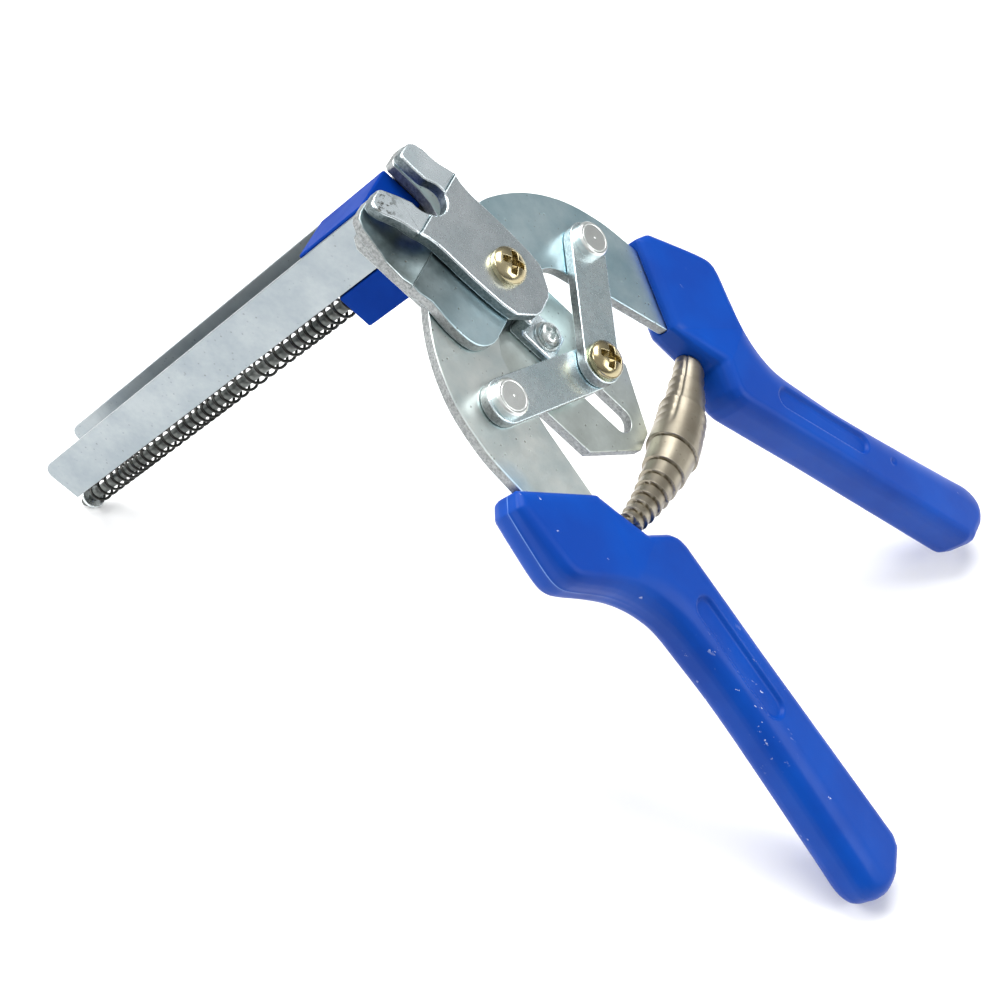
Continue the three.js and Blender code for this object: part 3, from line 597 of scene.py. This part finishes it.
def wound_strip(node, name, material):
    """Radius along the barrel: each turn flares to its lip, then drops into a narrow deep groove.

    The lips lean with the winding, the barrel bows away from the base plate, and the upper
    half has the strip's straight edge as a seam and faint scallops down its sides.
    """
    middle_u, _, middle_n = VOLUTE_MIDDLE
    reach, bow = 27.95, 4.1
    lips = np.array((0.0, -7.2, -11.6, -15.3, -18.7, -21.8, -24.6, -27.2))
    lip_radius = np.array((6.6, 5.5, 4.85, 4.4, 4.0, 3.7, 3.4, 3.2))
    at = np.concatenate([lips, lips - 0.05, lips - 0.45, lips - 0.5])
    radii = np.concatenate([lip_radius, lip_radius - 1.6, lip_radius - 1.6, lip_radius - 0.62])
    order = np.argsort(at)
    at = np.concatenate([at[order], (12.8, 12.95, 20.5, 20.65, 27.0, 28.0)])
    radii = np.concatenate([radii[order], (6.2, 5.4, 4.75, 4.3, 3.9, 3.2)])
    along, round_it = np.linspace(-reach, reach, 900), np.linspace(0, 2 * np.pi, 96, endpoint=False)
    s, a = np.meshgrid(along, round_it, indexing="ij")
    radius = np.interp(s + 0.9 * np.cos(a - 0.6), at, radii)
    upper = smooth(s, 3.0, 8.0)
    seam_turn = np.abs(np.angle(np.exp(1j * (a - 2.55))))
    radius = radius - 0.30 * upper * (1 - smooth(seam_turn, 0.02, 0.10))
    radius = radius - 0.26 * upper * np.abs(np.sin(s * np.pi / 2.6)) * np.cos(a - 0.44) ** 4
    radius = np.where(np.abs(s) >= reach, 0.0, radius)
    bowed_u = middle_u + bow * (1 - (s / 28.0) ** 2)
    points = in_place(bowed_u + radius * np.cos(a), s, middle_n + radius * np.sin(a))
    return new_piece(name, closed_turning(name, points), material, node)


strip_nickel = finish_of(
    "strip_nickel", plating,
    {"Bright": (0.39, 0.355, 0.28, 1), "Dull": (0.30, 0.265, 0.205, 1), "Pits": 0.3, "Rough": 0.38},
    metallic=1.0, bump_mm=0.015)
volute = wound_strip("volute_spring", "volute_spring_wound", strip_nickel)
# Both grips close on it evenly, so the real spring shortens towards its middle; here it is left at full length.
volute_anchor = tuple(in_place(*VOLUTE_MIDDLE))
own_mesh(volute)

# The follower is moulded in blue plastic, slides in the channel and pushes the stick of clips.
# The moulding has faint flow marks, a fine satin grain, and pale scuffs where it is handled.
moulding, given, result = group_of(
    "moulded_plastic",
    [("Lit", "c", (0.001, 0.058, 0.37, 1)), ("Shade", "c", (0.0008, 0.044, 0.31, 1)),
     ("Scuffs", "f", 0.5), ("Rough", "f", 0.36),
     ("Worn at", "v", (0, 0, 0)), ("Worn reach", "f", 0.001),
     ("Seam level", "f", 1.0), ("Seam", "f", 0.0)],
    [("Colour", "c"), ("Roughness", "f"), ("Height", "f")])
place = moulding.nodes.new("ShaderNodeTexCoord").outputs["Object"]
flow = noise(moulding, place, 55.0, detail=3.0, rough=0.5)
fleck_patch = noise(moulding, place, 130.0, detail=2.0, rough=0.5)
stretched = vector_of(moulding, "MULTIPLY", place, (0.5, 1.0, 0.5))
fleck = noise(moulding, stretched, 640.0, detail=4.0, rough=0.65)
satin = noise(moulding, place, 4200.0, detail=2.0, rough=0.6)
away = vector_of(moulding, "DISTANCE", place, given.outputs["Worn at"])
share = math_of(moulding, "DIVIDE", away, given.outputs["Worn reach"])
handled = steps(moulding, share, 0.35, 1.0, 1.0, 0.0)
handled = math_of(moulding, "MULTIPLY", handled, steps(moulding, fleck_patch, 0.42, 0.52))
handled = math_of(moulding, "ADD", handled, steps(moulding, fleck_patch, 0.64, 0.70))
scuff = math_of(moulding, "MULTIPLY", steps(moulding, fleck, 0.645, 0.67), handled)
scuff = math_of(moulding, "MULTIPLY", scuff, given.outputs["Scuffs"])
colour = blend_of(moulding, steps(moulding, flow, 0.35, 0.65), given.outputs["Lit"], given.outputs["Shade"])
# The seam is a thin pale line at one level, broken in places, that fades out behind the block.
SEAM_FADES = (50, 62)
level = vector_of(moulding, "DOT_PRODUCT", place, tuple(n_axis))
from_seam = math_of(moulding, "SUBTRACT", level, given.outputs["Seam level"])
from_seam = math_of(moulding, "ABSOLUTE", from_seam)
seam = steps(moulding, from_seam, 0.08 * MM, 0.2 * MM, 1.0, 0.0)
seam = math_of(moulding, "MULTIPLY", seam, given.outputs["Seam"])
seam = math_of(moulding, "MULTIPLY", seam, steps(moulding, fleck_patch, 0.4, 0.6, 0.3, 1.0))
length = vector_of(moulding, "DOT_PRODUCT", place, tuple(u_axis))
fade_start, fade_end = (float(pivot @ u_axis) + far * MM for far in SEAM_FADES)
seam = math_of(moulding, "MULTIPLY", seam, steps(moulding, length, fade_start, fade_end, 1.0, 0.0))
lined = blend_of(moulding, seam, colour, (0.20, 0.36, 0.72))
scuffed = blend_of(moulding, scuff, lined, (0.62, 0.68, 0.80))
moulding.links.new(scuffed, result.inputs["Colour"])
rough = math_of(moulding, "ADD", given.outputs["Rough"], steps(moulding, flow, 0.3, 0.7, -0.05, 0.07))
rough = math_of(moulding, "ADD", rough, math_of(moulding, "MULTIPLY", scuff, 0.25))
moulding.links.new(rough, result.inputs["Roughness"])
relief = math_of(moulding, "MULTIPLY", satin, 0.3)
relief = math_of(moulding, "ADD", relief, math_of(moulding, "MULTIPLY", fleck, 0.25))
moulding.links.new(relief, result.inputs["Height"])
follower_blue = finish_of(
    "follower_blue", moulding,
    {"Lit": (0.001, 0.040, 0.30, 1), "Shade": (0.001, 0.030, 0.24, 1), "Scuffs": 0.1, "Rough": 0.5},
    metallic=0.0, bump_mm=0.02, gloss=0.03)
pressed_copy("follower", "follower_moulded", follower_blue, 0.6, 4)


# Each grip is blue plastic moulded round its handle's tang: a square front block, then a rounded
# handle with a long shallow recess in its face. Places are u and v on the upper grip.
BLOCK_TO, ROUND_FROM = 50, 72
ROUND_REACH, ROUND_RADIUS = 8.0, 9.6
BLOCK_CORNER, BLOCK_END_FACES = (27.2, 43.4), (0.642, 0.767)
SLOPE_LENGTH, SLOPE_FROM, SLOPE_TO = 21.0, 46.0, 62.0
FRONT_HEIGHT = 0.38
RECESS_FIRST, RECESS_LAST, RECESS_DEPTH = (81.0, 34.6), (107.0, 42.9), 1.0
DIMPLE_AT, DIMPLE_DEPTH = (119, 47), 0.5
RIDGE_HEIGHT = 0.14


def moulded_grip(node, name, material, side, plate):
    """The CAD grip remeshed evenly and softened, then rounded, sloped at its front and pressed in.

    Its height above its middle shrinks as a circle's does near the outer edge of the round part.
    Above the plate, the front block's height grows evenly from its end to the full height.
    """
    mesh = frame["nodes"][node].data.copy()
    work = bmesh.new()
    work.from_mesh(mesh)
    bmesh.ops.remove_doubles(work, verts=work.verts, dist=2e-6)
    work.to_mesh(mesh)
    work.free()
    piece = new_piece(name, mesh, material, node)
    remesh = piece.modifiers.new("even", "REMESH")
    remesh.mode = "VOXEL"
    remesh.voxel_size = 0.4 * MM
    soften = piece.modifiers.new("soften", "SMOOTH")
    soften.factor = 0.5
    soften.iterations = 4
    bpy.context.view_layer.update()
    even = bpy.data.meshes.new_from_object(piece.evaluated_get(bpy.context.evaluated_depsgraph_get()))
    piece.modifiers.clear()
    piece.data = even
    flat = np.empty(len(even.vertices) * 3)
    even.vertices.foreach_get("co", flat)
    co = flat.reshape(-1, 3)
    facing = np.empty(len(even.vertices) * 3)
    even.vertices.foreach_get("normal", facing)
    up = facing.reshape(-1, 3) @ n_axis
    apart = (co - pivot) / MM
    u, v = apart @ u_axis, side * (apart @ v_axis)
    level = apart @ n_axis
    middle = (level.min() + level.max()) / 2
    stations = np.linspace(30, 154, 125)
    outer_edge = np.array([v[np.abs(u - here) < 1.2].max() for here in stations])
    inward = np.interp(u, stations, outer_edge) - v
    rounded = smooth(u, BLOCK_TO, ROUND_FROM)
    over_edge = np.clip(ROUND_REACH - inward, 0, ROUND_REACH)
    fuller = 1 - rounded * (1 - np.sqrt(1 - (over_edge / ROUND_RADIUS) ** 2))
    level_now = middle + (level - middle) * fuller
    shelf = ends_along_n(plate)[1] + 0.1
    from_end = (u - BLOCK_CORNER[0]) * BLOCK_END_FACES[0] + (v - BLOCK_CORNER[1]) * BLOCK_END_FACES[1]
    risen = np.maximum(from_end / SLOPE_LENGTH, (u - SLOPE_FROM) / (SLOPE_TO - SLOPE_FROM))
    slope = FRONT_HEIGHT + (1 - FRONT_HEIGHT) * np.clip(risen, 0, 1)
    sloped = (level > shelf) & (u < SLOPE_TO)
    level_now = np.where(sloped, shelf + (level_now - shelf) * slope, level_now)
    first, last = np.array(RECESS_FIRST), np.array(RECESS_LAST)
    run = last - first
    t = np.clip(((u - first[0]) * run[0] + (v - first[1]) * run[1]) / (run @ run), 0, 1)
    off = np.hypot(u - first[0] - t * run[0], v - first[1] - t * run[1])
    depth = RECESS_DEPTH * (1 - smooth(off, 2.3, 3.3)) * smooth(up, 0.4, 0.7)
    if side > 0:
        off = np.hypot(u - DIMPLE_AT[0], v - DIMPLE_AT[1])
        depth = depth + DIMPLE_DEPTH * (1 - smooth(off, 0.4, 1.3)) * smooth(up, 0.5, 0.8)
    outward = smooth(side * (facing.reshape(-1, 3) @ v_axis), 0.3, 0.8)
    ridge = RIDGE_HEIGHT * (1 - smooth(np.abs(level_now - middle), 0.15, 0.6)) * outward * (1 - rounded)
    co = co + ((level_now - level)[:, None] * n_axis + side * ridge[:, None] * v_axis) * MM
    co = co - depth[:, None] * n_axis * MM
    even.vertices.foreach_set("co", co.ravel())
    even.polygons.foreach_set("use_smooth", np.ones(len(even.polygons), bool))
    even.materials.clear()
    even.materials.append(material)
    even.materials.append(material)
    even.update()
    return piece


grip_blue = finish_of("grip_blue", moulding, {"Scuffs": 0.12, "Rough": 0.36},
                      metallic=0.0, bump_mm=0.02, gloss=0.17)
lower_middle = sum(ends_along_n("lower_grip")) / 2
HANDLED_PLACE = (99.0, -48.0, lower_middle + 4)
handled_blue = finish_of(
    "handled_blue", moulding,
    {"Scuffs": 0.9, "Rough": 0.38,
     "Worn at": tuple(in_place(*HANDLED_PLACE)), "Worn reach": 19 * MM,
     "Seam": 0.7, "Seam level": float(pivot @ n_axis) + lower_middle * MM},
    metallic=0.0, bump_mm=0.02, gloss=0.15)
moulded_grip("upper_grip", "upper_grip_moulded", grip_blue, 1, "upper_handle_plate")
moulded_grip("lower_grip", "lower_grip_moulded", handled_blue, -1, "lower_handle_plate")
